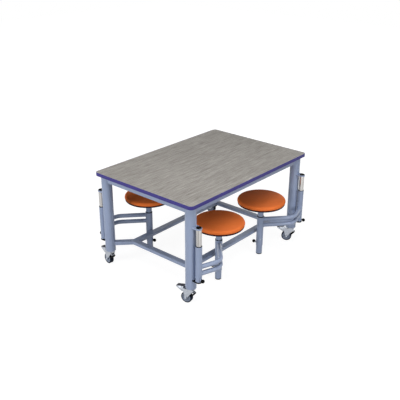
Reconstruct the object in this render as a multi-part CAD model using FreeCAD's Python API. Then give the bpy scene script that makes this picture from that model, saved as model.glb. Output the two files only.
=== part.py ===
import FreeCAD, Part
import math
import os

# Table with four swing-out swivel stools, on casters. Millimetres, floor at zero, long side along X.
# Overall sizes
table_height = 747.6
top_length = 1333.0
top_width = 914.4
top_thick = 25.4
top_corner_radius = 30.0
band_thick = 3.0
band_edge_radius = 1.5

# Legs and apron
leg_dia = 76.2
leg_wall = 2.5
leg_inset_x = 59.4
leg_inset_y = 57.6
leg_clear = 123.0
leg_plate_thick = 6.0
socket_dia = 24.0
socket_rise = 40.0
rail_width = 38.1
rail_height = 50.8
rail_wall = 2.0
rail_corner = 3.0
screw_dia = 4.8
screw_head_dia = 9.5
screw_head_rise = 3.4
screw_bite = 14.0
screw_clear = 0.4
long_screw_shares = (-0.36, 0.0, 0.36)
short_screw_shares = (-0.3, 0.3)

# Stretcher ring
ring_setback_x = 105.8
ring_setback_y = 101.3
ring_width = 47.4
ring_height = 25.4
ring_top = 192.2
ring_wall = 2.0
ring_corner = 4.0

# Pivot posts beside the legs
pivot_out = 68.5
shaft_dia = 38.1
shaft_wall = 2.5
shaft_plug = 10.0
spigot_dia = 25.0
running_fit = 0.05
eye_upper_dia = 45.0
eye_lower_dia = 48.0
bracket_upper_root = 53.0
bracket_lower_root = 38.0
bracket_upper_top = 588.5
bracket_upper_thick = 10.0
bracket_lower_top = 195.0
bracket_lower_thick = 6.0
cap_dia = 37.0
cap_rise = 4.0
cap_edge = 2.5
cap_plug = 12.0
sleeve_dia = 44.45
sleeve_bore = 40.5
sleeve_top = 460.5
flange_thick = 3.5
bush_length = 11.0

# Swing arms
arm_reach_share = 0.2675
arm_reach_y = 121.8
arm_tube_dia = 31.75
arm_tube_wall = 2.0
arm_bend_radius = 90.0
arm_first_deg = 18.5
arm_second_deg = 42.5
arm_low_z = 251.0
arm_high_z = 301.0

# Stool posts and feet
post_dia = 52.0
post_bore = 48.2
post_bottom = 79.0
post_top = 322.0
post_ring_dia = 51.0
post_ring_rise = 6.0
stem_dia = 44.45
stem_wall = 2.5
stem_bottom = 231.0
bush_lip = 4.0
bush_lip_bore = 30.0
foot_dia = 47.6
foot_wall = 2.0
foot_top = 211.0
glide_dia = 46.4
glide_rise = 9.0
glide_edge = 6.0
glide_plug = 14.0
foot_clear = 7.0

# Knobs of the spring plungers
knob_dia = 26.0
knob_pin_dia = 8.0
knob_pin_fit = 0.1
knob_boss_dia = 16.0
sleeve_knob_reach = 40.0
sleeve_knob_levels = (212.5, 212.5, 224.0, 212.5)
sleeve_knob_degs = (7.0, 7.0, -15.0, 7.0)
sleeve_boss_rise = 3.6
post_knob_reach = 52.0
post_knob_z = 96.0
post_boss_rise = 8.0
pin_stand_off = 0.4

# Seats
seat_dia = 362.0
seat_bottom = 435.5
pan_thick = 10.0
pan_inset = 4.0
pan_edge = 5.0
plate_dia = 150.0
plate_thick = 5.0
pad_tuck = 5.0
pad_belly = 10.0
pad_shoulder = 16.0
pad_edge_top = 473.0
pad_crown = 5.0

# Casters
wheel_dia = 80.0
wheel_width = 30.0
tyre_thick = 10.0
tyre_edge = 5.0
hub_width = 32.0
hub_recess = 5.0
hub_rim = 4.0
rim_rib_rise = 3.0
rim_rib_width = 10.0
axle_dia = 8.0
axle_head_dia = 15.0
axle_head_rise = 4.0
caster_trail = 30.0
caster_turns = (101.0, 116.0, 83.0, 98.0)
fork_gap = 34.0
fork_plate = 3.0
fork_front = 26.0
fork_rear = 50.0
fork_top = 109.0
fork_crown = 5.0
fork_lip = 4.0
fork_skirt = 24.0
fork_boss = 8.0
head_dia = 62.0
head_neck_dia = 52.0
head_gap = 0.5
stem_pin_dia = 12.0
stem_pin_gap = 1.0
pedal_width = 30.0
pedal_thick = 4.0
pedal_line = ((-28.0, 89.0), (-4.0, 93.0), (52.0, 93.0))
pedal_wedge = ((52.0, 83.0), (62.0, 79.0), (108.0, 104.0), (108.0, 110.0), (52.0, 121.0))
pedal_pin_x = 24.0
pedal_pin_dia = 6.0
pad_width = 30.0
pad_thick = 5.0
shoe_length = 32.0
shoe_thick = 7.0
shoe_deg = 48.0

# How far a cutting body runs past the face it opens
overrun = 5.0

V = FreeCAD.Vector
UP = V(0, 0, 1)
corners = (("fl", -1, -1), ("fr", 1, -1), ("bl", -1, 1), ("br", 1, 1))

leg_radius = leg_dia / 2
leg_x = top_length / 2 - leg_inset_x
leg_y = top_width / 2 - leg_inset_y
top_bottom = table_height - top_thick
rail_bottom = top_bottom - rail_height
ring_x = leg_x - ring_setback_x
ring_y = leg_y - ring_setback_y
ring_bottom = ring_top - ring_height
pivot_y = leg_y + pivot_out
arm_reach_x = arm_reach_share * top_length
post_x = leg_x - arm_reach_x
post_y = pivot_y - arm_reach_y
shaft_radius = shaft_dia / 2
sleeve_radius = sleeve_dia / 2
post_radius = post_dia / 2
wheel_radius = wheel_dia / 2


def save(name, *shapes):
    """Write one node, a single solid or a group of separate solids."""
    shape = shapes[0] if len(shapes) == 1 else Part.makeCompound(list(shapes))
    shape.exportStep("parts/" + name + ".step")


def cylinder(x, y, z, radius, height):
    return Part.makeCylinder(radius, height, V(x, y, z))


def ring(x, y, z, outer, inner, height):
    """A plain tube standing on z; outer and inner are radii."""
    return cylinder(x, y, z, outer, height).cut(cylinder(x, y, z - overrun, inner, height + 2 * overrun))


def prism(points, z, height):
    """A vertical prism over a closed outline in plan."""
    wire = Part.makePolygon([V(x, y, z) for x, y in points] + [V(points[0][0], points[0][1], z)])
    return Part.Face(wire).extrude(V(0, 0, height))


def side_prism(points, y, width):
    """A prism lying along Y over an outline drawn in X and Z."""
    wire = Part.makePolygon([V(x, y, z) for x, z in points] + [V(points[0][0], y, points[0][1])])
    return Part.Face(wire).extrude(V(0, width, 0))


def along(shape, direction):
    """The straight edges of a shape that run along a direction."""
    found = []
    for edge in shape.Edges:
        if edge.Curve.TypeId == "Part::GeomLine" and abs(edge.Curve.Direction.dot(direction)) > 0.999:
            found.append(edge)
    return found


def rect_tube(length, width, height, wall, corner):
    """A rectangular tube along X, centred on X and Y, its underside at zero."""
    outer = Part.makeBox(length, width, height, V(-length / 2, -width / 2, 0))
    outer = outer.makeFillet(corner, along(outer, V(1, 0, 0)))
    inner = Part.makeBox(length + 2 * overrun, width - 2 * wall, height - 2 * wall,
                         V(-length / 2 - overrun, wall - width / 2, wall))
    return outer.cut(inner)


def placed(shape, x, y, z, deg=0):
    """A copy turned about Z and then moved."""
    copy = shape.copy()
    copy.rotate(V(0, 0, 0), UP, deg)
    copy.translate(V(x, y, z))
    return copy


def at_corner(shape, side_x, side_y):
    """A shape built for the front left corner, mirrored to another corner."""
    if side_x > 0:
        shape = shape.mirror(V(0, 0, 0), V(1, 0, 0))
    if side_y > 0:
        shape = shape.mirror(V(0, 0, 0), V(0, 1, 0))
    return shape


def turned(points, x, y):
    """A solid turned about a vertical axis from an outline of points and arcs (start, middle, end)."""
    edges = []
    for step in points:
        knots = [V(r, 0, z) for r, z in step]
        if len(knots) == 2:
            edges.append(Part.LineSegment(knots[0], knots[1]).toShape())
        else:
            edges.append(Part.Arc(knots[0], knots[1], knots[2]).toShape())
    face = Part.Face(Part.Wire(edges))
    solid = face.revolve(V(0, 0, 0), UP, 360)
    solid.translate(V(x, y, 0))
    return solid


def corner_arc(centre, radius, start_deg, end_deg):
    """A quarter of a rounded edge as start, middle and end points."""
    middle_deg = (start_deg + end_deg) / 2
    found = []
    for deg in (start_deg, middle_deg, end_deg):
        a = math.radians(deg)
        found.append((centre[0] + radius * math.cos(a), centre[1] + radius * math.sin(a)))
    return found


os.makedirs("parts", exist_ok=True)

# Table top: a panel with a band bent round its edge
panel = Part.makeBox(top_length - 2 * band_thick, top_width - 2 * band_thick, top_thick,
                     V(band_thick - top_length / 2, band_thick - top_width / 2, top_bottom))
panel = panel.makeFillet(top_corner_radius - band_thick, along(panel, UP))
outline = Part.makeBox(top_length, top_width, top_thick, V(-top_length / 2, -top_width / 2, top_bottom))
outline = outline.makeFillet(top_corner_radius, along(outline, UP))
rim_edges = []
for edge in outline.Edges:
    box = edge.BoundBox
    if box.ZLength < band_edge_radius:
        rim_edges.append(edge)
outline = outline.makeFillet(band_edge_radius, rim_edges)
band = outline.cut(panel)

# Screws up through the apron into the panel
screw_spots = []
for side in (-1, 1):
    for share in long_screw_shares:
        screw_spots.append((share * top_length, side * leg_y))
    for share in short_screw_shares:
        screw_spots.append((side * leg_x, share * top_width))
screws = []
rail_drills = []
for x, y in screw_spots:
    head = cylinder(x, y, rail_bottom - screw_head_rise, screw_head_dia / 2, screw_head_rise)
    shank = cylinder(x, y, rail_bottom, screw_dia / 2, rail_height + screw_bite)
    screws.append(head.fuse(shank).removeSplitter())
    panel = panel.cut(cylinder(x, y, top_bottom, screw_dia / 2, screw_bite))
    rail_drills.append(cylinder(x, y, rail_bottom - overrun, screw_dia / 2 + screw_clear,
                                rail_height + 2 * overrun))
save("table_top", panel)
save("edge_band", band)
save("top_screws", *screws)

# Apron rails between the legs, their ends shaped to the round legs
leg_cores = []
for name, side_x, side_y in corners:
    leg_cores.append(cylinder(side_x * leg_x, side_y * leg_y, 0, leg_radius, table_height))
rails = []
for side in (-1, 1):
    tube = rect_tube(2 * leg_x, rail_width, rail_height, rail_wall, rail_corner)
    rails.append(placed(tube, 0, side * leg_y, rail_bottom))
    tube = rect_tube(2 * leg_y, rail_width, rail_height, rail_wall, rail_corner)
    rails.append(placed(tube, side * leg_x, 0, rail_bottom, 90))
shaped = []
for rail in rails:
    rail = rail.cut(Part.makeCompound(leg_cores)).cut(Part.makeCompound(rail_drills))
    shaped.append(rail)
save("apron_rails", *shaped)

# Legs: tubes with a plate and a caster socket welded into the lower end
legs = []
for name, side_x, side_y in corners:
    x = side_x * leg_x
    y = side_y * leg_y
    tube = ring(x, y, leg_clear, leg_radius, leg_radius - leg_wall, top_bottom - leg_clear)
    plate = cylinder(x, y, leg_clear, leg_radius - leg_wall, leg_plate_thick)
    socket = cylinder(x, y, leg_clear, socket_dia / 2, socket_rise)
    bore = cylinder(x, y, leg_clear - overrun, stem_pin_dia / 2 + running_fit, socket_rise + 2 * overrun)
    legs.append(tube.fuse(plate).fuse(socket).cut(bore).removeSplitter())
save("legs", *legs)

# Stretcher: a mitred ring of flat tubes and a short bar from each corner of it to a leg
bars = []
for half, across, deg in ((ring_x, ring_y, 0), (ring_y, ring_x, 90), (ring_x, ring_y, 180), (ring_y, ring_x, 270)):
    bar = placed(rect_tube(2 * half, ring_width, ring_height, ring_wall, ring_corner),
                 0, ring_width / 2 - across, ring_bottom)
    for side in (-1, 1):
        mitre = prism([(side * (half + overrun), -across - overrun),
                       (side * (half - ring_width - overrun), ring_width + overrun - across),
                       (side * (half + overrun), ring_width + overrun - across)],
                      ring_bottom - overrun, ring_height + 2 * overrun)
        bar = bar.cut(mitre)
    bars.append(placed(bar, 0, 0, 0, deg))
inside = Part.makeBox(2 * ring_x, 2 * ring_y, ring_height + 2 * overrun,
                      V(-ring_x, -ring_y, ring_bottom - overrun))
span = math.hypot(ring_setback_x, ring_setback_y)
tie_deg = math.degrees(math.atan2(ring_setback_y, ring_setback_x))
tie = rect_tube(2 * span, ring_width, ring_height, ring_wall, ring_corner)
tie = placed(placed(tie, span, 0, ring_bottom), -leg_x, -leg_y, 0, tie_deg)
tie = tie.cut(inside).cut(leg_cores[0])
for name, side_x, side_y in corners:
    bars.append(at_corner(tie, side_x, side_y))
save("stretcher_ring", *bars)


def bracket(eye_dia, root, hole_radius, top, thick):
    """A plate from the leg to a round eye on the pivot line, for the front left leg."""
    half = root / 2
    eye = eye_dia / 2
    plate = prism([(half - leg_x, -leg_y), (eye - leg_x, -pivot_y), (-eye - leg_x, -pivot_y),
                   (-half - leg_x, -leg_y)], top - thick, thick)
    plate = plate.fuse(cylinder(-leg_x, -pivot_y, top - thick, eye, thick))
    plate = plate.cut(cylinder(-leg_x, -leg_y, top - thick - overrun, leg_radius, thick + 2 * overrun))
    plate = plate.cut(cylinder(-leg_x, -pivot_y, top - thick - overrun, hole_radius, thick + 2 * overrun))
    return plate.removeSplitter()


upper = bracket(eye_upper_dia, bracket_upper_root, shaft_radius + running_fit, bracket_upper_top, bracket_upper_thick)
lower = bracket(eye_lower_dia, bracket_lower_root, spigot_dia / 2 + running_fit,
                bracket_lower_top, bracket_lower_thick)
save("upper_brackets", *[at_corner(upper, sx, sy) for name, sx, sy in corners])
save("lower_brackets", *[at_corner(lower, sx, sy) for name, sx, sy in corners])

# Pivot shaft: a bright tube with a plugged, shouldered lower end and a black cap in the upper end
shaft_length = bracket_upper_top - bracket_lower_top
bore_radius = shaft_radius - shaft_wall
shaft = cylinder(-leg_x, -pivot_y, bracket_lower_top, shaft_radius, shaft_length)
shaft = shaft.cut(cylinder(-leg_x, -pivot_y, bracket_lower_top + shaft_plug, bore_radius, shaft_length))
spigot = cylinder(-leg_x, -pivot_y, bracket_lower_top - bracket_lower_thick, spigot_dia / 2,
                  bracket_lower_thick)
shaft = shaft.fuse(spigot).removeSplitter()
cap_radius = cap_dia / 2
cap_head = turned([[(0, 0), (cap_radius, 0)],
                   [(cap_radius, 0), (cap_radius, cap_rise - cap_edge)],
                   corner_arc((cap_radius - cap_edge, cap_rise - cap_edge), cap_edge, 0, 90),
                   [(cap_radius - cap_edge, cap_rise), (0, cap_rise)],
                   [(0, cap_rise), (0, 0)]], -leg_x, -pivot_y)
cap_head.translate(V(0, 0, bracket_upper_top))
cap = cap_head.fuse(cylinder(-leg_x, -pivot_y, bracket_upper_top - cap_plug, bore_radius, cap_plug))
cap = cap.removeSplitter()

# Sleeve that slides and turns with the arm, with a boss for its plunger
sleeve_low = bracket_lower_top + flange_thick
sleeve_high = sleeve_top - flange_thick
pin_hole = knob_pin_dia / 2 + knob_pin_fit


def sleeve_knob_axis(level, deg):
    """Where a sleeve's plunger starts on the pivot line, and the way it points."""
    turn = math.radians(270 - deg)
    return V(-leg_x, -pivot_y, level), V(math.cos(turn), math.sin(turn), 0)


def arm_sleeve(root, line):
    """The sleeve tube with a drilled boss for a plunger on the given line."""
    tube = cylinder(-leg_x, -pivot_y, sleeve_low, sleeve_radius, sleeve_high - sleeve_low)
    length = sleeve_radius + sleeve_boss_rise
    tube = tube.fuse(Part.makeCylinder(knob_boss_dia / 2, length, root, line))
    tube = tube.cut(Part.makeCylinder(pin_hole, length + overrun, root, line))
    return tube.cut(cylinder(-leg_x, -pivot_y, sleeve_low - overrun, sleeve_bore / 2,
                             sleeve_high - sleeve_low + 2 * overrun))


# Black flanged bushes in both ends of the sleeve, and the long bush that carries the seat stem
bush_bore = shaft_radius + running_fit
flange_radius = sleeve_radius
sleeve_bush_low = ring(-leg_x, -pivot_y, bracket_lower_top, flange_radius, bush_bore, flange_thick)
tail = ring(-leg_x, -pivot_y, sleeve_low, sleeve_bore / 2, bush_bore, bush_length - flange_thick)
sleeve_bush_low = sleeve_bush_low.fuse(tail).removeSplitter()
sleeve_bush_high = ring(-leg_x, -pivot_y, sleeve_high, flange_radius, bush_bore, flange_thick)
tail = ring(-leg_x, -pivot_y, sleeve_top - bush_length, sleeve_bore / 2, bush_bore,
            bush_length - flange_thick)
sleeve_bush_high = sleeve_bush_high.fuse(tail).removeSplitter()
stem_hole = stem_dia / 2 + running_fit
post_bush = cylinder(-post_x, -post_y, stem_bottom - bush_lip, post_bore / 2, post_top - stem_bottom + bush_lip)
post_bush = post_bush.fuse(cylinder(-post_x, -post_y, post_top, post_ring_dia / 2, post_ring_rise))
post_bush = post_bush.cut(cylinder(-post_x, -post_y, stem_bottom, stem_hole, post_top))
post_bush = post_bush.cut(cylinder(-post_x, -post_y, stem_bottom - bush_lip - overrun, bush_lip_bore / 2,
                                   bush_lip + 2 * overrun))
post_bush = post_bush.removeSplitter()

# Arm tubes: two bent tubes one above the other, from the sleeve to the stool post
first = math.radians(arm_first_deg)
second = math.radians(arm_second_deg)
first_line = V(math.cos(first), -math.sin(first), 0)
second_line = V(math.cos(second), math.sin(second), 0)
cross = first_line.x * second_line.y - first_line.y * second_line.x
first_length = (arm_reach_x * second_line.y - arm_reach_y * second_line.x) / cross
back = arm_bend_radius * math.tan((first + second) / 2)
elbow = first_line * first_length
bend_start = elbow - first_line * back
bend_end = elbow + second_line * back
bend_centre = bend_start + V(math.sin(first), math.cos(first), 0) * arm_bend_radius
to_elbow = elbow - bend_centre
bend_middle = bend_centre + to_elbow * (arm_bend_radius / to_elbow.Length)


def arm_pipe(radius, z):
    """A round bar along the bent line of the arm at one height."""
    base = V(-leg_x, -pivot_y, z)
    edges = [Part.LineSegment(base, base + bend_start).toShape(),
             Part.Arc(base + bend_start, base + bend_middle, base + bend_end).toShape(),
             Part.LineSegment(base + bend_end, V(-post_x, -post_y, z)).toShape()]
    section = Part.Wire([Part.Circle(base, first_line, radius).toShape()])
    return Part.Wire(edges).makePipeShell([section], True, False)


sleeve_core = cylinder(-leg_x, -pivot_y, 0, sleeve_radius, table_height)
post_core = cylinder(-post_x, -post_y, 0, post_radius, table_height)
arm_tubes = []
for z in (arm_low_z, arm_high_z):
    tube = arm_pipe(arm_tube_dia / 2, z).cut(arm_pipe(arm_tube_dia / 2 - arm_tube_wall, z))
    arm_tubes.append(tube.cut(sleeve_core).cut(post_core))

# Stool post with a boss for the plunger that holds the foot tube
post = cylinder(-post_x, -post_y, post_bottom, post_radius, post_top - post_bottom)
post_knob_root = V(-post_x, -post_y, post_knob_z)
post_knob_line = V(0, 1, 0)
post = post.fuse(Part.makeCylinder(knob_boss_dia / 2, post_radius + post_boss_rise,
                                   post_knob_root, post_knob_line))
post = post.cut(Part.makeCylinder(pin_hole, post_radius + post_boss_rise + overrun,
                                  post_knob_root, post_knob_line))
post = post.cut(cylinder(-post_x, -post_y, post_bottom - overrun, post_bore / 2,
                         post_top - post_bottom + 2 * overrun))

# Foot tube inside the post, on a black glide that stays just clear of the floor
glide_top = foot_clear + glide_rise
foot = ring(-post_x, -post_y, glide_top, foot_dia / 2, foot_dia / 2 - foot_wall, foot_top - glide_top)
glide_radius = glide_dia / 2
glide = turned([[(0, foot_clear), (glide_radius - glide_edge, foot_clear)],
                corner_arc((glide_radius - glide_edge, foot_clear + glide_edge), glide_edge, -90, 0),
                [(glide_radius, foot_clear + glide_edge), (glide_radius, glide_top)],
                [(glide_radius, glide_top), (0, glide_top)],
                [(0, glide_top), (0, foot_clear)]], -post_x, -post_y)
glide = glide.fuse(cylinder(-post_x, -post_y, glide_top, foot_dia / 2 - foot_wall, glide_plug))
glide = glide.removeSplitter()

# Seat stem under a round plate, the black pan on it and the crowned pad
stem = ring(-post_x, -post_y, stem_bottom, stem_dia / 2, stem_dia / 2 - stem_wall,
            seat_bottom - stem_bottom)
stem = stem.fuse(cylinder(-post_x, -post_y, seat_bottom - plate_thick, plate_dia / 2, plate_thick))
stem = stem.removeSplitter()
seat_radius = seat_dia / 2
pan_radius = seat_radius - pan_inset
pan_top = seat_bottom + pan_thick
pan = turned([[(0, seat_bottom), (pan_radius - pan_edge, seat_bottom)],
              corner_arc((pan_radius - pan_edge, seat_bottom + pan_edge), pan_edge, -90, 0),
              [(pan_radius, seat_bottom + pan_edge), (pan_radius, pan_top)],
              [(pan_radius, pan_top), (0, pan_top)],
              [(0, pan_top), (0, seat_bottom)]], -post_x, -post_y)
tuck_radius = seat_radius - pad_tuck
belly_z = pan_top + pad_belly
side_middle = seat_radius - pad_tuck / 4
shoulder_radius = seat_radius - pad_shoulder
shoulder_knot = shoulder_radius + pad_shoulder * math.sin(math.radians(45))
shoulder_rise = pad_edge_top - belly_z
crown_top = pad_edge_top + pad_crown
crown_radius = (shoulder_radius ** 2 + pad_crown ** 2) / (2 * pad_crown)
crown_half = math.asin(shoulder_radius / crown_radius) / 2
crown_knot = (crown_radius * math.sin(crown_half), crown_top - crown_radius * (1 - math.cos(crown_half)))
pad = turned([[(0, pan_top), (tuck_radius, pan_top)],
              [(tuck_radius, pan_top), (side_middle, pan_top + pad_belly / 2), (seat_radius, belly_z)],
              [(seat_radius, belly_z), (shoulder_knot, belly_z + shoulder_rise * math.sin(math.radians(45))),
               (shoulder_radius, pad_edge_top)],
              [(shoulder_radius, pad_edge_top), crown_knot, (0, crown_top)],
              [(0, crown_top), (0, pan_top)]], -post_x, -post_y)


def knob(root, line, reach, inner_face):
    """A ball knob on a plunger pin that stops just short of the tube it would lock."""
    ball = Part.makeSphere(knob_dia / 2, root + line * reach)
    tip = inner_face + pin_stand_off
    pin = Part.makeCylinder(knob_pin_dia / 2, reach - tip, root + line * tip, line)
    return ball.fuse(pin).removeSplitter()


post_knob = knob(post_knob_root, post_knob_line, post_knob_reach, foot_dia / 2)

for (name, side_x, side_y), level, deg in zip(corners, sleeve_knob_levels, sleeve_knob_degs):
    root, line = sleeve_knob_axis(level, deg)
    sleeve = arm_sleeve(root, line)
    sleeve_knob = knob(root, line, sleeve_knob_reach, shaft_radius)
    for piece, solids in (("pivot_shaft", (shaft, cap)), ("pivot_sleeve", (sleeve,)),
                          ("arm_tubes", arm_tubes), ("stool_post", (post,)),
                          ("arm_bushes", (sleeve_bush_low, sleeve_bush_high, post_bush)),
                          ("foot_tube", (foot, glide)), ("seat_base", (stem, pan)), ("seat_pad", (pad,)),
                          ("sleeve_knob", (sleeve_knob,)), ("post_knob", (post_knob,))):
        save(piece + "_" + name, *[at_corner(solid, side_x, side_y) for solid in solids])

# Caster fork: swivel head and stem, crown plate and two tapering side plates with the axle bolt
axle_z = wheel_radius
fork_half = fork_gap / 2
head_top = leg_clear - head_gap
neck = Part.makeCone(head_neck_dia / 2, head_dia / 2, head_top - fork_top, V(0, 0, fork_top))
stem_pin = cylinder(0, 0, head_top, stem_pin_dia / 2, socket_rise - stem_pin_gap)
crown = Part.makeBox(fork_front + fork_rear, fork_gap + 2 * fork_plate, fork_crown,
                     V(-fork_front, -fork_half - fork_plate, fork_top - fork_crown))
fork = neck.fuse(stem_pin).fuse(crown)
axle_out = fork_half + fork_plate
for side in (-1, 1):
    face_y = fork_half if side > 0 else -fork_half - fork_plate
    cheek = side_prism([(-fork_front, fork_top), (fork_rear, fork_top), (fork_rear, fork_top - fork_skirt),
                        (caster_trail + fork_boss, axle_z), (caster_trail - fork_boss, axle_z),
                        (-fork_front, fork_top - fork_lip)], face_y, fork_plate)
    boss = Part.makeCylinder(fork_boss, fork_plate, V(caster_trail, face_y, axle_z), V(0, 1, 0))
    bolt = Part.makeCylinder(axle_head_dia / 2, axle_head_rise, V(caster_trail, side * axle_out, axle_z),
                             V(0, side, 0))
    fork = fork.fuse(cheek).fuse(boss).fuse(bolt)
axle = Part.makeCylinder(axle_dia / 2, 2 * axle_out, V(caster_trail, -axle_out, axle_z), V(0, 1, 0))
pin_z = pedal_line[1][1]
pin_bore = Part.makeCylinder(pedal_pin_dia / 2 + running_fit, 2 * axle_out + 2 * overrun,
                             V(pedal_pin_x, -axle_out - overrun, pin_z), V(0, 1, 0))
fork = fork.fuse(axle).cut(pin_bore).removeSplitter()


def lying(points, x, z):
    """A solid turned about the axle line from an outline of radius and width."""
    solid = turned(points, 0, 0)
    solid.rotate(V(0, 0, 0), V(1, 0, 0), -90)
    solid.translate(V(x, 0, z))
    return solid


# Wheel: a tyre with rounded shoulders, keyed on the rib of a hub that is dished on both faces
half_width = wheel_width / 2
rim_radius = wheel_radius - tyre_thick
shoulder = wheel_radius - tyre_edge
rib_half = rim_rib_width / 2
rib_radius = rim_radius + rim_rib_rise
rim = [[(rim_radius, -rib_half), (rim_radius, -half_width)], [(rib_radius, -rib_half), (rim_radius, -rib_half)],
       [(rib_radius, rib_half), (rib_radius, -rib_half)], [(rim_radius, rib_half), (rib_radius, rib_half)],
       [(rim_radius, half_width), (rim_radius, rib_half)]]
tyre = lying([[(rim_radius, -half_width), (shoulder, -half_width)],
              corner_arc((shoulder, tyre_edge - half_width), tyre_edge, -90, 0),
              [(wheel_radius, tyre_edge - half_width), (wheel_radius, half_width - tyre_edge)],
              corner_arc((shoulder, half_width - tyre_edge), tyre_edge, 0, 90),
              [(shoulder, half_width), (rim_radius, half_width)]] + rim[::-1], caster_trail, axle_z)
hub_half = hub_width / 2
bearing = axle_dia / 2 + running_fit
nave = axle_head_dia / 2
dish = rim_radius - hub_rim
web = half_width - hub_recess
hub = lying([[(bearing, -hub_half), (nave, -hub_half)], [(nave, -hub_half), (nave, -web)],
             [(nave, -web), (dish, -web)], [(dish, -web), (dish, -half_width)],
             [(dish, -half_width), (rim_radius, -half_width)],
             *[step[::-1] for step in rim],
             [(rim_radius, half_width), (dish, half_width)], [(dish, half_width), (dish, web)],
             [(dish, web), (nave, web)], [(nave, web), (nave, hub_half)],
             [(nave, hub_half), (bearing, hub_half)], [(bearing, hub_half), (bearing, -hub_half)]],
            caster_trail, axle_z)

# Brake rocker: a lever on a cross pin, a wedge with a black pad at its rear and a shoe ahead of the wheel
lift = pedal_thick / 2
under = [(x, z - lift) for x, z in pedal_line]
over = [(x, z + lift) for x, z in reversed(pedal_line)]
lever = side_prism(under + over, -pedal_width / 2, pedal_width)
cross_pin = Part.makeCylinder(pedal_pin_dia / 2, 2 * axle_out, V(pedal_pin_x, -axle_out, pin_z), V(0, 1, 0))
wedge = side_prism(pedal_wedge, -pedal_width / 2, pedal_width)
lever = lever.fuse(cross_pin).fuse(wedge).removeSplitter()
toe = pedal_wedge[-2]
heel = pedal_wedge[-1]
tread = side_prism([heel, toe, (toe[0], toe[1] + pad_thick), (heel[0], heel[1] + pad_thick)],
                   -pad_width / 2, pad_width)
tip = pedal_line[0]
fall = math.radians(shoe_deg)
shoe_run = shoe_length * math.cos(fall)
shoe_drop = shoe_length * math.sin(fall)
shoe = side_prism([(tip[0], tip[1] - lift), (tip[0] + shoe_run, tip[1] - lift - shoe_drop),
                   (tip[0] + shoe_run - shoe_thick, tip[1] - lift - shoe_drop - shoe_thick),
                   (tip[0] - shoe_thick, tip[1] - lift - shoe_thick)], -pedal_width / 2, pedal_width)

for (name, side_x, side_y), turn in zip(corners, caster_turns):
    for piece, solids in (("caster_fork", (fork,)), ("caster_wheel", (tyre, hub)),
                          ("brake_pedal", (lever, tread, shoe))):
        save(piece + "_" + name,
             *[placed(solid, side_x * leg_x, side_y * leg_y, 0, turn) for solid in solids])
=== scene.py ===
import math

import bmesh
import bpy
import numpy as np
from mathutils import Matrix, Vector


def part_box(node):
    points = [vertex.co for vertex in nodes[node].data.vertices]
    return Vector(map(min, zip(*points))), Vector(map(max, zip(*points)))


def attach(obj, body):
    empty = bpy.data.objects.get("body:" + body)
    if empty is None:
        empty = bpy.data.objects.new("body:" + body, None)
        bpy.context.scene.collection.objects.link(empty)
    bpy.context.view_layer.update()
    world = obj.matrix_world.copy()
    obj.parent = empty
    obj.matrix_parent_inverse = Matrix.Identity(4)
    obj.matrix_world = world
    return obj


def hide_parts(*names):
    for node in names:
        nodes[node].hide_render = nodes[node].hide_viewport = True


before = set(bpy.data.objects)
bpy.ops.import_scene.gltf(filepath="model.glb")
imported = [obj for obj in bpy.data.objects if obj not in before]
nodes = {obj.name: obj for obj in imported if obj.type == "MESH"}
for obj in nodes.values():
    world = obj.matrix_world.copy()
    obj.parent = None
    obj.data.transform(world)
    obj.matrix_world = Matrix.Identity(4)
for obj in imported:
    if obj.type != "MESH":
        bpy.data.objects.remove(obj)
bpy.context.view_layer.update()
scene = bpy.context.scene


# Steel frame: four round tube legs, the apron under the top, the flat-tube stretcher and the bracket
# plates high on the legs. It is welded into one piece, then sprayed with pale blue-grey powder and baked.
class Line:
    """One socket of a material. Arithmetic on it adds Math nodes, and node() adds any other node."""

    def __init__(self, tree, socket):
        self.tree = tree
        self.socket = socket

    def node(self, kind, settings, out=0, **values):
        """A node of a kind, its settings made first, then its inputs by name or number (i0, i1, ...)."""
        made = self.tree.nodes.new(kind)
        for key, value in settings.items():
            if key == "stops":
                ramp = made.color_ramp.elements
                while len(ramp) < len(value):
                    ramp.new(0.5)
                for element, (place, colour) in zip(ramp, value):
                    element.position = place
                    element.color = (*colour, 1.0)
            else:
                setattr(made, key, value)
        for key, value in values.items():
            spot = int(key[1:]) if key[0] == "i" and key[1:].isdigit() else key.replace("_", " ")
            if isinstance(value, Line):
                self.tree.links.new(value.socket, made.inputs[spot])
            else:
                made.inputs[spot].default_value = value
        return Line(self.tree, made.outputs[out])

    def sum_with(self, operation, first, second):
        """A Math node on two values, of which at least one is a Line."""
        return self.node("ShaderNodeMath", {"operation": operation}, i0=first, i1=second)

    def __add__(self, other):
        return self.sum_with("ADD", self, other)

    def __radd__(self, other):
        return self.sum_with("ADD", other, self)

    def __mul__(self, other):
        return self.sum_with("MULTIPLY", self, other)

    def __rmul__(self, other):
        return self.sum_with("MULTIPLY", other, self)


def new_finish(name, **constants):
    """A material with one Principled shader; constants go straight onto its sockets.
    Returns the material, a Line on its object coordinates and a function that links a socket."""
    material = bpy.data.materials.new(name)
    material.use_nodes = True
    tree = material.node_tree
    shader = tree.nodes["Principled BSDF"]
    for key, value in constants.items():
        shader.inputs[key.replace("_", " ")].default_value = value
    place = Line(tree, tree.nodes.new("ShaderNodeTexCoord").outputs["Object"])

    def feed(socket, line):
        tree.links.new(line.socket, shader.inputs[socket])

    return material, place, feed


def noise(place, scale, detail=3.0, rough=0.55, stretch=(1.0, 1.0, 1.0)):
    """Cloudy values about 0.5; stretch multiplies the coordinates axis by axis first."""
    if stretch != (1.0, 1.0, 1.0):
        place = place.node("ShaderNodeMapping", {}, Vector=place, Scale=stretch)
    return place.node("ShaderNodeTexNoise", {"noise_dimensions": "3D"}, Vector=place,
                      Scale=scale, Detail=detail, Roughness=rough)


def spread(value, low, high):
    """The middle of a noise's range stretched from low to high."""
    return value.node("ShaderNodeMapRange", {}, Value=value, From_Min=0.3, From_Max=0.7,
                      To_Min=low, To_Max=high)


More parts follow.
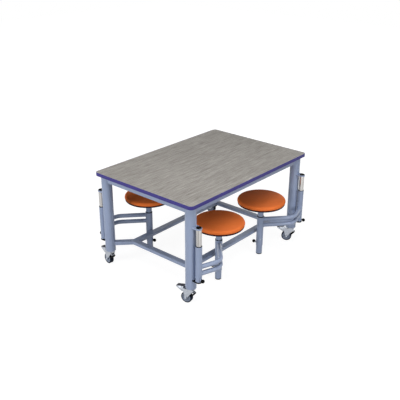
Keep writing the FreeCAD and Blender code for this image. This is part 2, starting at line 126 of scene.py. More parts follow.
def tint(value, stops):
    """A colour for each value, blended between the stops."""
    return value.node("ShaderNodeValToRGB", {"stops": stops}, Fac=value)


def mottled(value, dark, light):
    """A colour that drifts between two shades as a noise does."""
    return tint(spread(value, 0.0, 1.0), ((0.0, dark), (1.0, light)))


def bump(height, strength, distance):
    """A normal that leans with a height; the distance is the full height in metres."""
    return height.node("ShaderNodeBump", {}, Height=height, Strength=strength, Distance=distance)


def powder_coat():
    """Baked powder: a faint drift in shade, and the fine dimples of cured powder."""
    material, place, feed = new_finish("powder_coat", Specular_IOR_Level=0.35)
    feed("Base Color", mottled(noise(place, 3.0, 1.0), (0.304, 0.368, 0.530), (0.326, 0.393, 0.556)))
    feed("Roughness", spread(noise(place, 40.0), 0.22, 0.26))
    feed("Normal", bump(noise(place, 1400.0, 1.0), 0.05, 0.0002))
    return material


def dress(material, *names):
    """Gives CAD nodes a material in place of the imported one."""
    for name in names:
        nodes[name].data.materials.clear()
        nodes[name].data.materials.append(material)


paint = powder_coat()
dress(paint, "legs", "apron_rails", "stretcher_ring", "upper_brackets")


# Frame welds: a rippled bead of filler where each stretcher bar and each bracket plate meets its leg.
# The beads lie under the same powder as the tubes.
def skin(name, grid, material, body, sharp_deg=38.0):
    """A mesh over a grid of points (rows, columns, xyz): quads join neighbours, and the last column
    joins the first. Points that coincide, as at a pole, are merged."""
    rows, columns = grid.shape[:2]
    here = np.arange(rows * columns).reshape(rows, columns)
    following = np.roll(here, -1, axis=1)
    quads = np.stack([here[:-1], following[:-1], following[1:], here[1:]], axis=-1).reshape(-1, 4)
    mesh = bpy.data.meshes.new(name)
    mesh.from_pydata(grid.reshape(-1, 3).tolist(), [], quads.tolist())
    work = bmesh.new()
    work.from_mesh(mesh)
    bmesh.ops.remove_doubles(work, verts=work.verts, dist=1e-6)
    bmesh.ops.recalc_face_normals(work, faces=work.faces)
    work.to_mesh(mesh)
    work.free()
    mesh.shade_smooth()
    mesh.set_sharp_from_angle(angle=math.radians(sharp_deg))
    mesh.materials.append(material)
    piece = bpy.data.objects.new(name, mesh)
    scene.collection.objects.link(piece)
    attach(piece, body)
    return piece


def weld_bead(base, way, round_radius, width, height, power, bead=0.0022, ripples=40):
    """A bead round the joint of a level bar with an upright tube. The bar's section is
    |u/a|^n + |v/b|^n = 1, round at n = 2 and nearly square-cornered at n = 8. A point of it meets the tube at
    sqrt(R^2 - u^2) along the way. The bead is a small circle carried along that line, its radius rippled by
    the strokes of the torch."""
    t = np.linspace(0.0, 2 * math.pi, 180, endpoint=False)
    a = np.linspace(0.0, 2 * math.pi, 9)[:, None]
    half_u, half_v = width / 2, height / 2
    reach = (np.abs(np.cos(t) / half_u) ** power + np.abs(np.sin(t) / half_v) ** power) ** (-1.0 / power)
    u, v = reach * np.cos(t), reach * np.sin(t)
    out_u = np.sign(u) * np.abs(u / half_u) ** (power - 1) / half_u
    out_v = np.sign(v) * np.abs(v / half_v) ** (power - 1) / half_v
    length = np.hypot(out_u, out_v)
    size = bead * (1.0 + 0.14 * np.cos(ripples * t))
    across = u + size * np.cos(a) * out_u / length
    rise = v + size * np.cos(a) * out_v / length
    along = np.sqrt(round_radius ** 2 - u ** 2) + size * np.sin(a)
    way = np.array((way[0], way[1], 0.0))
    side = np.array((-way[1], way[0], 0.0))
    up = np.array((0.0, 0.0, 1.0))
    return np.array(base) + along[..., None] * way + across[..., None] * side + rise[..., None] * up


def level(node):
    """The height halfway up a node."""
    return (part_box(node)[0].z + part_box(node)[1].z) / 2


corners = {"fl": (-1, -1), "fr": (1, -1), "bl": (-1, 1), "br": (1, 1)}
leg_radius = 0.0381
leg_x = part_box("legs")[1].x - leg_radius
leg_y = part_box("legs")[1].y - leg_radius
ring_setback_x, ring_setback_y = 0.1058, 0.1013
tie_turn = math.atan2(ring_setback_y, ring_setback_x)
tie_width, tie_height = 0.0474, 0.0254
plate_width, plate_height = 0.0496, 0.010
square_bar = 8
weld_sharp = 80.0
for k, (side_x, side_y) in corners.items():
    leg = (side_x * leg_x, side_y * leg_y)
    inward = (-side_x * math.cos(tie_turn), -side_y * math.sin(tie_turn))
    tie_weld = weld_bead((*leg, level("stretcher_ring")), inward, leg_radius, tie_width, tie_height, square_bar)
    skin("tie_weld_" + k, tie_weld, paint, "frame", weld_sharp)
    plate_weld = weld_bead((*leg, level("upper_brackets")), (0, side_y), leg_radius, plate_width, plate_height,
                           square_bar)
    skin("bracket_weld_" + k, plate_weld, paint, "frame", weld_sharp)


# Caster forks: pressed steel, bright zinc plated, each on a swivel head under its leg.
# A domed nut closes the axle bolt on both sides.
def bright_zinc():
    """Zinc plate: small crystals that differ in gloss, cool and pale."""
    material, place, feed = new_finish("bright_zinc", Metallic=1.0)
    flakes = place.node("ShaderNodeTexVoronoi", {}, out=1, Vector=place, Scale=260.0)
    grey = flakes.node("ShaderNodeSeparateXYZ", {}, Vector=flakes)
    feed("Base Color", tint(grey, ((0.0, (0.33, 0.35, 0.39)), (1.0, (0.47, 0.50, 0.55)))))
    feed("Roughness", 0.28 + 0.14 * grey)
    return material


def softened(corners_rz, steps=6):
    """A profile of radius and height whose corners (r, z, rounding) are replaced by small arcs.
    Each arc is a quadratic curve from one cut-back point to the other, pulled to the corner."""
    spots = np.array([c[:2] for c in corners_rz], float)
    found = [spots[:1]]
    t = np.linspace(0.0, 1.0, steps)[:, None]
    for before, here, after, (_, _, cut) in zip(spots, spots[1:], spots[2:], corners_rz[1:]):
        if cut == 0:
            found.append(here[None])
            continue
        back = here + (before - here) * min(cut / np.linalg.norm(before - here), 0.5)
        ahead = here + (after - here) * min(cut / np.linalg.norm(after - here), 0.5)
        found.append((1 - t) ** 2 * back + 2 * t * (1 - t) * here + t ** 2 * ahead)
    found.append(spots[-1:])
    return np.vstack(found)


def about(profile, spot, way, around=48):
    """The grid of a profile (r, s) turned about a level line through a spot: s runs along the way,
    and r cos a and r sin a run sideways and up."""
    a = np.linspace(0.0, 2 * math.pi, around, endpoint=False)
    way = np.array((way[0], way[1], 0.0))
    side = np.array((-way[1], way[0], 0.0))
    up = np.array((0.0, 0.0, 1.0))
    r = profile[:, 0][:, None]
    s = profile[:, 1][:, None]
    return (np.array(spot) + s[..., None] * way + (r * np.cos(a))[..., None] * side
            + (r * np.sin(a))[..., None] * up)


def middle(node):
    """The middle of a node's box in plan, with its lowest and highest level."""
    low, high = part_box(node)
    return (low.x + high.x) / 2, (low.y + high.y) / 2, low.z, high.z


zinc = bright_zinc()
nut_start = 0.0238
nut_radius = 0.0058
nut_rise = 0.0040
dome = softened(((0.0, nut_start, 0), (nut_radius, nut_start, 0), (nut_radius, nut_start + 0.0022, 0.0008),
                 (0.0030, nut_start + 0.0038, 0.0016), (0.0, nut_start + nut_rise, 0)))
caster_ways = {}
for k, (side_x, side_y) in corners.items():
    dress(zinc, "caster_fork_" + k)
    x, y, low, high = middle("caster_wheel_" + k)
    along = np.array((x - side_x * leg_x, y - side_y * leg_y))
    along = along / np.linalg.norm(along)
    caster_ways[k] = along
    for number, turn in enumerate((1, -1)):
        way = (-turn * along[1], turn * along[0])
        nut = about(dome, (x, y, (low + high) / 2), way, 36)
        skin("axle_nut_" + k + "_" + str(number), nut, zinc, "caster_" + k)


# Caster wheels: a dark rubber tyre moulded round a grey plastic hub that is dished on both faces.
# Each turns on the bolt of its fork.
def wheel_rubber():
    """Dark elastomer with a blue cast, matt on the tread."""
    material, place, feed = new_finish("wheel_rubber", Specular_IOR_Level=0.02)
    cloud = noise(place, 40.0)
    feed("Base Color", mottled(cloud, (0.010, 0.015, 0.028), (0.018, 0.025, 0.042)))
    feed("Roughness", spread(cloud, 0.56, 0.70))
    return material


def hub_grey():
    """Moulded grey plastic, faintly mottled."""
    material, place, feed = new_finish("hub_grey", Specular_IOR_Level=0.2)
    cloud = noise(place, 60.0)
    feed("Base Color", mottled(cloud, (0.190, 0.225, 0.300), (0.250, 0.290, 0.370)))
    feed("Roughness", spread(cloud, 0.32, 0.46))
    return material


def mirrored(half):
    """A wheel profile (r, s, rounding) from its half on one side, run on to the other side."""
    return half + tuple((r, -s, cut) for r, s, cut in reversed(half))


rubber = wheel_rubber()
hub_plastic = hub_grey()
hub_radius = 0.0325
tyre_half = 0.015
hub_face = tyre_half - 0.0006
hub_hole = 0.0042
boss_radius = 0.0078
boss_face = tyre_half + 0.001
groove_half, groove_depth = 0.0052, 0.0007
hub = softened(((hub_hole, 0.0, 0),)
               + mirrored(((hub_hole, boss_face, 0), (boss_radius, boss_face, 0.0008),
                           (boss_radius + 0.0008, tyre_half - 0.005, 0.002),
                           (0.0265, tyre_half - 0.0045, 0.002), (0.0278, hub_face, 0.0006),
                           (hub_radius, hub_face, 0.0005)))
               + ((hub_hole, 0.0, 0),))
for k in corners:
    x, y, low, high = middle("caster_wheel_" + k)
    across = (-caster_ways[k][1], caster_ways[k][0])
    radius = (high - low) / 2
    tyre = softened(((hub_radius, 0.0, 0),)
                    + mirrored(((hub_radius, hub_face, 0.0005), (radius - 0.0015, tyre_half, 0.001),
                                (radius, tyre_half - 0.0020, 0.0015), (radius, groove_half, 0.0004),
                                (radius - groove_depth, groove_half - 0.0006, 0.0004)))
                    + ((hub_radius, 0.0, 0),))
    piece = skin("tyre_" + k, about(tyre, (x, y, radius), across, 96), rubber, "wheel_" + k)
    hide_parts("caster_wheel_" + k)
    piece = skin("hub_" + k, about(hub, (x, y, radius), across, 96), hub_plastic, "wheel_" + k)
    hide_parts("caster_wheel_" + k)


# Brakes: a folded zinc-plated rocker on a cross pin, with a ribbed dark tread to step on at the rear
# and a black rubber shoe ahead of the wheel.
def dark_moulding(name, shade):
    """Satin black or dark grey with a faint moulded grain, its shade drifting by a half either way."""
    material, place, feed = new_finish(name, Specular_IOR_Level=0.03)
    cloud = noise(place, 30.0)
    feed("Base Color", mottled(cloud, (0.5 * shade, 0.5 * shade, 0.6 * shade),
                               (1.5 * shade, 1.5 * shade, 1.7 * shade)))
    feed("Roughness", spread(cloud, 0.40, 0.52))
    feed("Normal", bump(noise(place, 900.0, 1.0), 0.08, 0.0003))
    return material


def inset(outline, depth):
    """A closed outline moved in by a depth along the mean normal of its two neighbouring sides."""
    before = outline - np.roll(outline, 1, axis=0)
    after = np.roll(outline, -1, axis=0) - outline
    turn = np.array(((0.0, 1.0), (-1.0, 0.0)))
    first = before / np.linalg.norm(before, axis=1, keepdims=True) @ turn.T
    second = after / np.linalg.norm(after, axis=1, keepdims=True) @ turn.T
    mean = first + second
    mean = mean / np.maximum(np.sum(mean * second, axis=1, keepdims=True), 0.4)
    area = np.sum(outline[:, 0] * np.roll(outline[:, 1], -1) - np.roll(outline[:, 0], -1) * outline[:, 1])
    return outline - math.copysign(depth, area) * mean


def pressing(name, outline_mm, half_mm, edge_mm, k, material):
    """A flat shape with eased edges: an outline in x (along the caster) and z, carried across the caster
    in four rows, the outer two drawn in by the easing, and closed by a face at each end."""
    outline = np.array(outline_mm, float) / 1000.0
    half = half_mm / 1000.0
    edge = edge_mm / 1000.0
    drawn = inset(outline, edge)
    rows = ((drawn, -half), (outline, edge - half), (outline, half - edge), (drawn, half))
    side_x, side_y = corners[k]
    base = np.array((side_x * leg_x, side_y * leg_y, 0.0))
    along = np.array((*caster_ways[k], 0.0))
    across = np.array((-along[1], along[0], 0.0))
    up = np.array((0.0, 0.0, 1.0))
    grid = np.array([base + points[:, :1] * along + points[:, 1:] * up + w * across for points, w in rows])
    piece = skin(name + "_" + k, grid, material, "brake_" + k, 30.0)
    work = bmesh.new()
    work.from_mesh(piece.data)
    bmesh.ops.holes_fill(work, edges=[e for e in work.edges if e.is_boundary])
    bmesh.ops.recalc_face_normals(work, faces=work.faces)
    work.to_mesh(piece.data)
    work.free()
    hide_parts("brake_pedal_" + k)


black = dark_moulding("black_moulding", 0.006)
# The tread's grey is partly painted sheen: a lighter shade of the black moulding that stands in for the light
# its ribs catch.
tread_grey_and_sheen = dark_moulding("tread_grey_and_sheen", 0.12)
rocker = ((-28, 87), (-4, 91), (52, 91), (52, 83), (62, 79), (108, 104), (108, 110), (52, 121), (52, 95),
          (-4, 95), (-28, 91))
shoe = ((-28, 87), (-6.6, 63.2), (-13.6, 56.2), (-35, 80))
tread_end, tread_low = 108.0, 110.0
tread_run, tread_climb = 56.0, 11.0
rib_rise, groove_rise = 5.0, 3.6
rib_shares = np.linspace(0.0, 1.0, 8)
ribs = [(tread_end, tread_low), (tread_end, tread_low + 4.0)]
for near, far in zip(rib_shares[:-1], rib_shares[1:]):
    for share, rise in ((near + 0.02, rib_rise), (far - 0.05, rib_rise), (far - 0.035, groove_rise),
                        (far, groove_rise)):
        ribs.append((tread_end - tread_run * share, tread_low + tread_climb * share + rise))
ribs.append((tread_end - tread_run, tread_low + tread_climb))
pedal_half = 15.0
metal_edge, tread_edge = 0.8, 0.5
pin_along, pin_level = 0.024, 0.093
pin_radius, pin_half = 0.003, 0.0200
cross_pin = softened(((0.0, -pin_half, 0), (0.0022, -pin_half, 0), (pin_radius, -0.0194, 0.0004),
                      (pin_radius, 0.0194, 0.0004), (0.0022, pin_half, 0), (0.0, pin_half, 0)))
for k, (side_x, side_y) in corners.items():
    pressing("rocker", rocker, pedal_half, metal_edge, k, zinc)
    pressing("tread", ribs, pedal_half, tread_edge, k, tread_grey_and_sheen)
    pressing("shoe", shoe, pedal_half, metal_edge, k, black)
    along = caster_ways[k]
    spot = (side_x * leg_x + pin_along * along[0], side_y * leg_y + pin_along * along[1], pin_level)
    grid = about(cross_pin, spot, (-along[1], along[0]), 24)
    piece = skin("brake_pin_" + k, grid, zinc, "brake_" + k)
    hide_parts("brake_pedal_" + k)


# Table top: a board pressed with a grey wood-grain laminate above and a dark backing sheet below, the backing
# partly painted shade for the space under the top.
# The grain runs along the length of the table.
def grey_laminate():
    """Printed grain: short streaks along X crossed by fine pores, over slow clouds of shade.
    Below the upper face the board shows its dark backing, partly painted shade: it is kept dark so that little
    light bounces from it onto the parts beneath."""
    material, place, feed = new_finish("grey_laminate", Specular_IOR_Level=0.15)
    wander = noise(place, 2.6, 2.0)
    bent = place.node("ShaderNodeVectorMath", {"operation": "ADD"}, i0=place,
                      i1=place.node("ShaderNodeCombineXYZ", {}, Y=0.030 * wander))
    streaks = noise(bent, 1.0, 4.0, 0.65, (5.0, 130.0, 1.0))
    pores = noise(bent, 1.0, 2.0, 0.6, (14.0, 320.0, 1.0))
    clouds = noise(place, 2.2, 2.0)
    grain = 0.42 * streaks + 0.46 * pores + 0.12 * clouds
    printed = tint(spread(grain, -0.25, 1.25), ((0.0, (0.205, 0.190, 0.170)), (0.4, (0.330, 0.310, 0.284)),
                                                (0.7, (0.404, 0.383, 0.355)), (1.0, (0.580, 0.556, 0.520))))
    height = place.node("ShaderNodeSeparateXYZ", {}, out=2, Vector=place)
    upper = height.node("ShaderNodeMath", {"operation": "GREATER_THAN"}, i0=height, i1=top_low + shade_backing)
    feed("Base Color", upper.node("ShaderNodeMix", {"data_type": "RGBA"}, out=2, Factor=upper,
                                  i6=(0.035, 0.030, 0.028, 1.0), i7=printed))
    feed("Roughness", spread(pores, 0.50, 0.62))
    feed("Normal", bump(pores, 0.06, 0.0003))
    return material


top_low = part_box("table_top")[0].z
shade_backing = 0.004
dress(grey_laminate(), "table_top")


# Edge band: a purple plastic strip, as deep as the board is thick, with eased edges.
# It is extruded in one length and pressed round the board, with its ends joined at the back.
def purple_edging():
    """Extruded plastic: lengthwise draw lines so faint that they only break up the gloss."""
    material, place, feed = new_finish("purple_edging", Specular_IOR_Level=0.2)
    feed("Base Color", mottled(noise(place, 7.0), (0.044, 0.036, 0.203), (0.057, 0.047, 0.246)))
    lines = noise(place, 1.0, 2.0, 0.5, (3.0, 3.0, 900.0))
    feed("Roughness", spread(lines, 0.36, 0.48))
    feed("Normal", bump(lines, 0.05, 0.0003))
    return material


dress(purple_edging(), "edge_band")


# Fixing screws: round-headed steel screws, zinc plated like the casters.
# They are driven up through the apron into the board.
dress(zinc, "top_screws")


# Lower brackets: plates welded low on the legs, each with an eye under its pivot shaft.
# They are sprayed black, and so are the beads that hold them; the black is partly painted shade, standing in
# for the shade under each sleeve.
dress(black, "lower_brackets")
lower_width, lower_height = 0.0424, 0.006
thin_bead = 0.0016
for k, (side_x, side_y) in corners.items():
    grid = weld_bead((side_x * leg_x, side_y * leg_y, level("lower_brackets")), (0, side_y), leg_radius,
                     lower_width, lower_height, square_bar, thin_bead)
    skin("lower_weld_" + k, grid, black, "frame", weld_sharp)


# Pivot shafts: polished stainless tubes held between the two brackets.
# Each is closed at the top by a black moulded cap that is pushed in.
def brushed_shaft():
    """Stainless drawn along its length: streaks that run up the tube and vary its shade and gloss."""
    material, place, feed = new_finish("brushed_shaft", Metallic=1.0)
    streaks = noise(place, 1.0, 3.0, 0.6, (150.0, 150.0, 1.5))
    feed("Base Color", mottled(streaks, (0.28, 0.27, 0.27), (0.68, 0.67, 0.65)))
    feed("Roughness", spread(streaks, 0.18, 0.32))
    feed("Normal", bump(streaks, 0.05, 0.0002))
    return material


def lathe(profile, x, y, around=72):
    """The grid of a profile (r, z) turned about a vertical line: x + r cos a, y + r sin a, z."""
    a = np.linspace(0.0, 2 * math.pi, around, endpoint=False)
    r = profile[:, 0][:, None]
    z = np.broadcast_to(profile[:, 1][:, None], (len(profile), around))
    return np.stack([x + r * np.cos(a), y + r * np.sin(a), z], axis=-1)


steel = brushed_shaft()
shaft_radius = 0.01905
shaft_bore = 0.0165
spigot_radius = 0.0125
cap_radius = 0.0186
plug_radius = 0.0160
cap_depth = 0.0095
shaft_floor = 0.01
bracket_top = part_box("upper_brackets")[1].z
bracket_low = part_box("lower_brackets")[1].z
for k in corners:
    x, y, low, high = middle("pivot_shaft_" + k)
    tube = softened(((0.0, low, 0), (spigot_radius, low, 0.001), (spigot_radius, bracket_low, 0),
                     (shaft_radius, bracket_low, 0), (shaft_radius, bracket_top, 0.0008),
                     (shaft_bore, bracket_top, 0), (shaft_bore, bracket_top - shaft_floor, 0),
                     (0.0, bracket_top - shaft_floor, 0)))
    piece = skin("shaft_tube_" + k, lathe(tube, x, y, 96), steel, "shaft_" + k)
    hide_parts("pivot_shaft_" + k)
    cap = softened(((0.0, bracket_top - cap_depth, 0), (plug_radius, bracket_top - cap_depth, 0),
                    (plug_radius, bracket_top, 0), (cap_radius, bracket_top, 0.0006),
                    (cap_radius, high, 0.0022), (0.0150, high, 0.0012),
                    (0.0140, high - 0.0022, 0.0016), (0.0, high - 0.0026, 0)))
    piece = skin("shaft_cap_" + k, lathe(cap, x, y), black, "shaft_" + k)
    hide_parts("pivot_shaft_" + k)


# Swing arms: a sleeve that slides and turns on the shaft, two bent tubes one above the other, and the
# stool post. They are steel tubes welded together and sprayed with the frame's powder; black bushes line
# the sleeve and the post.
arm_levels = (0.251, 0.301)
arm_dia = 0.03175
sleeve_radius = 0.022225
post_radius = 0.026
round_bar = 2
first_turn = math.radians(18.5)
second_turn = math.radians(42.5)
for k, (side_x, side_y) in corners.items():
    dress(paint, "pivot_sleeve_" + k, "arm_tubes_" + k, "stool_post_" + k)
    dress(black, "arm_bushes_" + k)
    shaft_spot = middle("pivot_shaft_" + k)[:2]
    post_spot = middle("foot_tube_" + k)[:2]
    first_way = (-side_x * math.cos(first_turn), side_y * math.sin(first_turn))
    last_way = (side_x * math.cos(second_turn), side_y * math.sin(second_turn))
    for number, z in enumerate(arm_levels):
        tag = k + "_" + str(number)
        grid = weld_bead((*shaft_spot, z), first_way, sleeve_radius, arm_dia, arm_dia, round_bar)
        skin("sleeve_weld_" + tag, grid, paint, "arm_" + k, weld_sharp)
        grid = weld_bead((*post_spot, z), last_way, post_radius, arm_dia, arm_dia, round_bar)
        skin("post_weld_" + tag, grid, paint, "arm_" + k, weld_sharp)


# Plunger knobs: moulded black balls screwed on bright steel pins that a spring holds in.
# One low on each sleeve locks its height, and one low on each post locks the foot.
def plunger(k, kind, spot, way, start, reach):
    """A pin from start to the ball, and the ball: a circle of points from its neck to a small flat end."""
    ball, rod, sunk = 0.013, 0.004, 0.006
    pin = softened(((0.0, start, 0), (rod, start + 0.001, 0.001), (rod, reach - sunk, 0),
                    (0.0, reach - sunk, 0)))
    piece = skin(kind + "_pin_" + k, about(pin, spot, way, 32), steel, kind + "_plunger_" + k)
    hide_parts(kind + "_knob_" + k)
    t = np.radians(np.linspace(151.0, 12.0, 30))
    neck = np.array(((0.0, reach - 0.0122), (0.0062, reach - 0.0122)))
    arc = np.stack([ball * np.sin(t), reach + ball * np.cos(t)], axis=1)
    end = np.array(((0.0, arc[-1, 1]),))
    piece = skin(kind + "_ball_" + k, about(np.vstack([neck, arc, end]), spot, way), black,
                 kind + "_plunger_" + k, 50.0)
    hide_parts(kind + "_knob_" + k)


sleeve_knob_degs = {"fl": 7.0, "fr": 7.0, "bl": -15.0, "br": 7.0}
sleeve_pin_start, sleeve_knob_reach = 0.0195, 0.040
post_pin_start, post_knob_reach = 0.0242, 0.052
for k, (side_x, side_y) in corners.items():
    turn = math.radians(sleeve_knob_degs[k])
    way = (side_x * math.sin(turn), side_y * math.cos(turn))
    spot = (*middle("pivot_shaft_" + k)[:2], level("sleeve_knob_" + k))
    plunger(k, "sleeve", spot, way, sleeve_pin_start, sleeve_knob_reach)
    spot = (*middle("foot_tube_" + k)[:2], level("post_knob_" + k))
    plunger(k, "post", spot, (0.0, -side_y), post_pin_start, post_knob_reach)


# Guide screws: small bright domed screws, one low on each post, a little above its knob.
# Each is driven through the wall of the post and keeps the foot from turning.
guide_turn = math.radians(50.0)
guide_level = 0.138
guide_radius = 0.0045
guide = softened(((0.0, post_radius - 0.0005, 0), (guide_radius, post_radius - 0.0005, 0),
                  (guide_radius, post_radius + 0.0008, 0.0004), (0.0024, post_radius + 0.0020, 0.0010),
                  (0.0, post_radius + 0.0022, 0)))
for k, (side_x, side_y) in corners.items():
    spot = (*middle("foot_tube_" + k)[:2], guide_level)
    way = (-side_x * math.cos(guide_turn), side_y * math.sin(guide_turn))
    skin("guide_screw_" + k, about(guide, spot, way, 32), zinc, "arm_" + k)


# Feet: a painted tube that slides in each stool post.
# A dark rounded glide is pushed into its lower end.
foot_radius = 0.0238
foot_bore = 0.0218
glide_radius, glide_plug = 0.0232, 0.0216
glide_rise, plug_rise = 0.009, 0.014
for k in corners:
    x, y, low, high = middle("foot_tube_" + k)
    seam = low + glide_rise
    tube = softened(((foot_bore, seam, 0), (foot_radius, seam, 0.0006), (foot_radius, high, 0.0006),
                     (foot_bore, high, 0), (foot_bore, seam, 0)))
    piece = skin("foot_pipe_" + k, lathe(tube, x, y), paint, "foot_" + k)
    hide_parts("foot_tube_" + k)
    glide = softened(((0.0, low, 0), (glide_radius, low, 0.006), (glide_radius, seam, 0.0005),
                      (glide_plug, seam, 0), (glide_plug, seam + plug_rise, 0), (0.0, seam + plug_rise, 0)))
    piece = skin("foot_glide_" + k, lathe(glide, x, y), black, "foot_" + k)
    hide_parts("foot_tube_" + k)


# Seat pans: dark moulded pans under the pads, each on a painted stem that turns in the stool post.
# The stem ends in a round plate, held to the pan by four bolts.
def dark_pan():
    """Dark plum plastic with a fine moulded grain."""
    material, place, feed = new_finish("dark_pan", Specular_IOR_Level=0.06)
    cloud = noise(place, 25.0)
    feed("Base Color", mottled(cloud, (0.014, 0.005, 0.012), (0.024, 0.009, 0.020)))
    feed("Roughness", spread(cloud, 0.50, 0.64))
    feed("Normal", bump(noise(place, 800.0, 1.0), 0.1, 0.0003))
    return material


pan_finish = dark_pan()
stem_radius = 0.022225
stem_bore = 0.019725
pan_thick, pan_edge = 0.010, 0.005
seat_plate_radius, seat_plate_thick = 0.075, 0.005
bolt_ring = 0.055
bolt_radius, bolt_rise = 0.0066, 0.0042
for k in corners:
    x, y, low, high = middle("seat_base_" + k)
    pan_radius = (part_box("seat_base_" + k)[1].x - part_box("seat_base_" + k)[0].x) / 2
    pan_low = high - pan_thick
    plate_low = pan_low - seat_plate_thick
    stem = softened(((stem_bore, low, 0), (stem_radius, low, 0.0006), (stem_radius, plate_low, 0.003),
                     (seat_plate_radius, plate_low, 0.0015), (seat_plate_radius, pan_low, 0),
                     (stem_bore, pan_low, 0), (stem_bore, low, 0)))
    piece = skin("seat_stem_" + k, lathe(stem, x, y), paint, "seat_" + k)
    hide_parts("seat_base_" + k)
    pan = softened(((0.0, pan_low, 0), (pan_radius, pan_low, pan_edge), (pan_radius, high, 0), (0.0, high, 0)))
    piece = skin("seat_pan_" + k, lathe(pan, x, y, 144), pan_finish, "seat_" + k)
    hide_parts("seat_base_" + k)
    bolt = softened(((0.0, plate_low - bolt_rise, 0), (0.0042, plate_low - bolt_rise, 0.0014),
                     (bolt_radius, plate_low - 0.0018, 0.0012), (bolt_radius, plate_low + 0.0005, 0),
                     (0.0, plate_low + 0.0005, 0)))
    for number, turn in enumerate(np.radians((45, 135, 225, 315))):
        grid = lathe(bolt, x + bolt_ring * math.cos(turn), y + bolt_ring * math.sin(turn), 36)
        skin("plate_bolt_" + k + "_" + str(number), grid, zinc, "seat_" + k)


# Seat pads: foam discs under orange vinyl, the cover pulled down over the edge and in under the pan.
# The cover is blown up by a cloth run: its rim is held on the foam's shoulder and its top swells
# into a crown.
def orange_vinyl():
    """Calendered vinyl: a close leather grain of small cells, slightly glossier on their tops."""
    material, place, feed = new_finish("orange_vinyl", Specular_IOR_Level=0.02)
    cells = place.node("ShaderNodeTexVoronoi", {"feature": "DISTANCE_TO_EDGE"}, Vector=place, Scale=420.0)
    feed("Base Color", mottled(noise(place, 9.0), (0.795, 0.180, 0.040), (0.872, 0.205, 0.050)))
    feed("Roughness", spread(noise(place, 60.0), 0.46, 0.56))
    feed("Normal", bump(cells, 0.10, 0.0006))
    return material


def pad_profile(radius, low, high, crown):
    """Half a section of the cover: flat underneath, then out to the belly as the square of the height, in
    over the shoulder on a quarter ellipse, and over a crown that falls as the square of the distance from
    the middle."""
    tuck, belly, shoulder = 0.005, 0.010, 0.016
    edge = high - crown
    s = np.linspace(0.0, 1.0, 8)
    t = np.linspace(0.0, math.pi / 2, 16)[1:]
    c = np.linspace(1.0, 0.0, 24)[1:]
    side = np.stack([radius - tuck * (1.0 - s) ** 2, low + belly * s], axis=1)
    waist = low + belly
    turn = np.stack([radius - shoulder * (1.0 - np.cos(t)), waist + (edge - waist) * np.sin(t)], axis=1)
    top = np.stack([(radius - shoulder) * c, high - crown * c ** 2], axis=1)
    return np.vstack([((0.0, low), (radius * 0.6, low)), side, turn, top])


def blown_cover(mesh, hold_radius, hold_level, cap, frames=20):
    """A closed cover swelled by cloth pressure: points outside hold_radius or under hold_level stay put,
    and the swelling is scaled so that no point moves further than cap."""
    voxel, pressure = 0.005, 4.0
    cover = bpy.data.objects.new("cover_work", mesh)
    scene.collection.objects.link(cover)
    remesh = cover.modifiers.new("remesh", "REMESH")
    remesh.mode = "VOXEL"
    remesh.voxel_size = voxel
    shape = bpy.data.meshes.new_from_object(cover.evaluated_get(bpy.context.evaluated_depsgraph_get()))
    cover.modifiers.remove(remesh)
    cover.data = shape
    rest = np.zeros(len(shape.vertices) * 3)
    shape.vertices.foreach_get("co", rest)
    rest = rest.reshape(-1, 3)
    still = (np.hypot(rest[:, 0], rest[:, 1]) > hold_radius) | (rest[:, 2] < hold_level)
    held = cover.vertex_groups.new(name="held")
    held.add(np.flatnonzero(still).tolist(), 1.0, "REPLACE")
    cloth = cover.modifiers.new("cloth", "CLOTH")
    cloth.settings.vertex_group_mass = "held"
    cloth.settings.use_pressure = True
    cloth.settings.uniform_pressure_force = pressure
    cloth.settings.effector_weights.gravity = 0.0
    cloth.point_cache.frame_start = 1
    cloth.point_cache.frame_end = frames
    for step in range(1, frames + 1):
        scene.frame_set(step)
    swelled = bpy.data.meshes.new_from_object(cover.evaluated_get(bpy.context.evaluated_depsgraph_get()))
    moved = np.zeros(len(swelled.vertices) * 3)
    swelled.vertices.foreach_get("co", moved)
    shift = moved.reshape(-1, 3) - rest
    shift *= min(1.0, cap / max(np.linalg.norm(shift, axis=1).max(), 1e-9))
    scene.frame_set(1)
    bpy.data.objects.remove(cover)
    return swelled, rest + shift


vinyl = orange_vinyl()
pad_low, pad_high = middle("seat_pad_fl")[2:]
pad_radius = (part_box("seat_pad_fl")[1].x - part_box("seat_pad_fl")[0].x) / 2
crown = 0.005
proud = 0.002
held_rim, held_side = 0.018, 0.020
flat = lathe(pad_profile(pad_radius, pad_low, pad_high + proud - crown, 0.0), 0.0, 0.0, 144)
start = skin("cover_start", flat, vinyl, "seat_fl")
cover, points = blown_cover(start.data, pad_radius - held_rim, pad_low + held_side, crown)
bpy.data.objects.remove(start)
for k in corners:
    x, y, low, high = middle("seat_pad_" + k)
    shape = cover.copy()
    shape.vertices.foreach_set("co", (points + (x, y, 0.0)).ravel())
    shape.shade_smooth()
    shape.materials.clear()
    shape.materials.append(vinyl)
    piece = bpy.data.objects.new("seat_cover_" + k, shape)
    scene.collection.objects.link(piece)
    smooth = piece.modifiers.new("smooth", "SMOOTH")
    smooth.factor = 0.5
    smooth.iterations = 2
    rounder = piece.modifiers.new("rounder", "SUBSURF")
    rounder.levels = 1
    rounder.render_levels = 1
    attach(piece, "seat_" + k)
    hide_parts("seat_pad_" + k)


# Studio: a pale floor that keeps a faint shadow, soft lamps above and all round, and a pale surround.
# The camera stands off one corner, above the table and looking down on it.
def soft_lamp(name, place, aim, size, power):
    """A square area lamp at a place, turned to face a point."""
    lamp = bpy.data.lights.new(name, "AREA")
    lamp.size = size
    lamp.energy = power
    holder = bpy.data.objects.new(name, lamp)
    holder.location = place
    holder.rotation_euler = (Vector(aim) - Vector(place)).to_track_quat("-Z", "Y").to_euler()
    scene.collection.objects.link(holder)


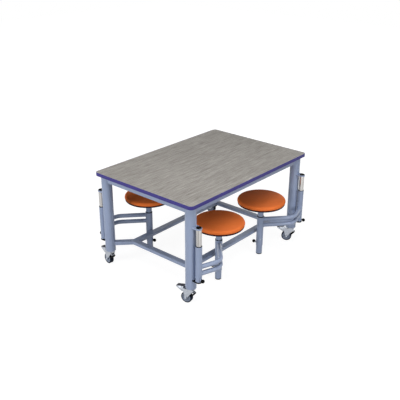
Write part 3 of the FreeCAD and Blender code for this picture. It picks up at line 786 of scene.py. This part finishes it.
def shown_rays(tree):
    """1 for rays that show the surround itself: straight to the camera, or by way of gloss or glass."""
    path = tree.nodes.new("ShaderNodeLightPath")
    straight = Line(tree, path.outputs["Is Camera Ray"])
    mirror = Line(tree, path.outputs["Is Glossy Ray"])
    through = Line(tree, path.outputs["Is Transmission Ray"])
    total = straight + mirror + through
    return total.node("ShaderNodeClamp", {}, Value=total)


soft_lamp("overhead", (-1.1, -0.9, 3.9), (0.0, 0.0, 0.4), 2.4, 82.0)
soft_lamp("high_front", (0.3, -2.6, 3.4), (0.0, -0.2, 0.4), 1.6, 20.0)
soft_lamp("left", (-3.6, 0.9, 1.7), (0.0, 0.0, 0.4), 1.4, 33.0)
soft_lamp("low_left", (-3.7, 1.0, 0.8), (0.0, 0.0, 0.5), 1.2, 27.0)
soft_lamp("low_near", (-3.4, -1.6, 0.8), (0.0, 0.0, 0.5), 1.2, 13.0)
soft_lamp("low_front", (-0.8, -3.7, 0.7), (0.0, 0.0, 0.5), 1.2, 41.0)
soft_lamp("back", (-0.4, 3.7, 1.0), (0.0, 0.0, 0.5), 1.2, 24.0)
soft_lamp("far_end", (3.7, 0.8, 0.9), (0.0, 0.0, 0.5), 1.2, 24.0)
world_light = 0.03

scene.world = bpy.data.worlds.new("studio")
scene.world.use_nodes = True
sky = scene.world.node_tree
ray = shown_rays(sky)
white = ray.node("ShaderNodeBackground", {}, Color=(1.0, 1.0, 1.0, 1.0), Strength=1.0)
glow = ray.node("ShaderNodeBackground", {}, Color=(1.0, 1.0, 1.0, 1.0), Strength=world_light)
seen = ray.node("ShaderNodeMixShader", {}, Fac=ray, i1=glow, i2=white)
sky.links.new(seen.socket, sky.nodes["World Output"].inputs["Surface"])

floor_mesh = bpy.data.meshes.new("floor")
floor_half = 12.0
floor_mesh.from_pydata([(-floor_half, -floor_half, 0.0), (floor_half, -floor_half, 0.0),
                        (floor_half, floor_half, 0.0), (-floor_half, floor_half, 0.0)], [], [(0, 1, 2, 3)])
floor = bpy.data.objects.new("floor", floor_mesh)
scene.collection.objects.link(floor)
floor_finish = bpy.data.materials.new("pale_floor")
floor_finish.use_nodes = True
tree = floor_finish.node_tree
ray = shown_rays(tree)
paper = ray.node("ShaderNodeBsdfDiffuse", {}, Color=(0.25, 0.25, 0.25, 1.0))
faint = ray.node("ShaderNodeBsdfDiffuse", {}, Color=(0.20, 0.20, 0.20, 1.0))
place = Line(tree, tree.nodes.new("ShaderNodeTexCoord").outputs["Object"])
away = place.node("ShaderNodeVectorMath", {"operation": "LENGTH"}, out=1, i0=place)
lift = away.node("ShaderNodeMapRange", {}, Value=away, From_Min=1.0, From_Max=3.0, To_Min=0.92, To_Max=1.0)
bright = ray.node("ShaderNodeEmission", {}, Color=lift, Strength=1.0)
shown = ray.node("ShaderNodeAddShader", {}, i0=faint, i1=bright)
seen = ray.node("ShaderNodeMixShader", {}, Fac=ray, i1=paper, i2=shown)
tree.links.new(seen.socket, tree.nodes["Material Output"].inputs["Surface"])
floor_mesh.materials.append(floor_finish)

eye = Vector((-3.2620, -2.7570, 2.3472))
sight_right = Vector((0.65285, -0.75748, 0.00376))
sight_up = Vector((0.30648, 0.26869, 0.91317))
sight_back = Vector((-0.69272, -0.59501, 0.40757))
camera = bpy.data.objects.new("camera", bpy.data.cameras.new("camera"))
camera.data.lens = 55.665
camera.data.sensor_width = 36.0
axes = Matrix((sight_right, sight_up, sight_back)).transposed()
camera.matrix_world = Matrix.Translation(eye) @ axes.to_4x4()
scene.collection.objects.link(camera)
scene.camera = camera
scene.view_settings.view_transform = "Standard"
